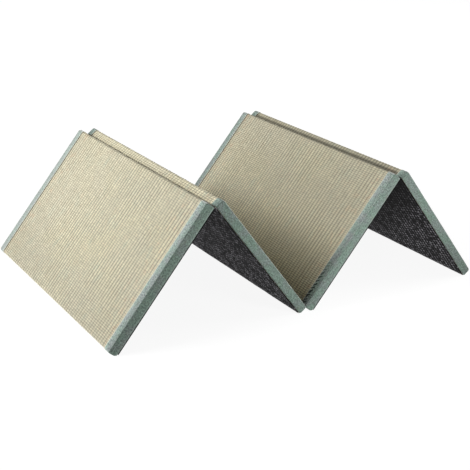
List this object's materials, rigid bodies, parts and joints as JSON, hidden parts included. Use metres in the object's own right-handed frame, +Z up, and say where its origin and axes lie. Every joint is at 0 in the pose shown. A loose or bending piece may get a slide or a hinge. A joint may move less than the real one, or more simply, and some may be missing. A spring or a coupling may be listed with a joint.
{
  "type": "folding tatami mat",
  "caption": "Folding floor mat of rush-covered boards with cloth edge bindings, hinged by its cloth and standing half folded in a zigzag.",
  "frame": {"origin": "on the floor, under the middle of the half-folded mat", "axes": "+X along the mat's length, from the left board to the right one; +Y across its width, to the back; +Z up"},
  "size_m": [1.3352, 0.9, 0.4049],
  "materials": {
    "rush": "woven rush facing, matt with a faint straw sheen, ribbed along the mat",
    "binding": "grey-green plain-woven cotton edge binding, matt",
    "backing": "black coarse-woven underside cloth with pale flecks, matt"
  },
  "bodies": {
    "root": {"panel_1": "rush", "panel_2": "rush", "panel_3": "rush", "panel_4": "rush", "facing_fold": "rush", "binding_1_front": "binding", "binding_1_back": "binding", "binding_2_front": "binding", "binding_2_back": "binding", "binding_3_front": "binding", "binding_3_back": "binding", "binding_4_front": "binding", "binding_4_back": "binding", "backing_left": "backing", "backing_right": "backing"}
  },
  "joints": []
}
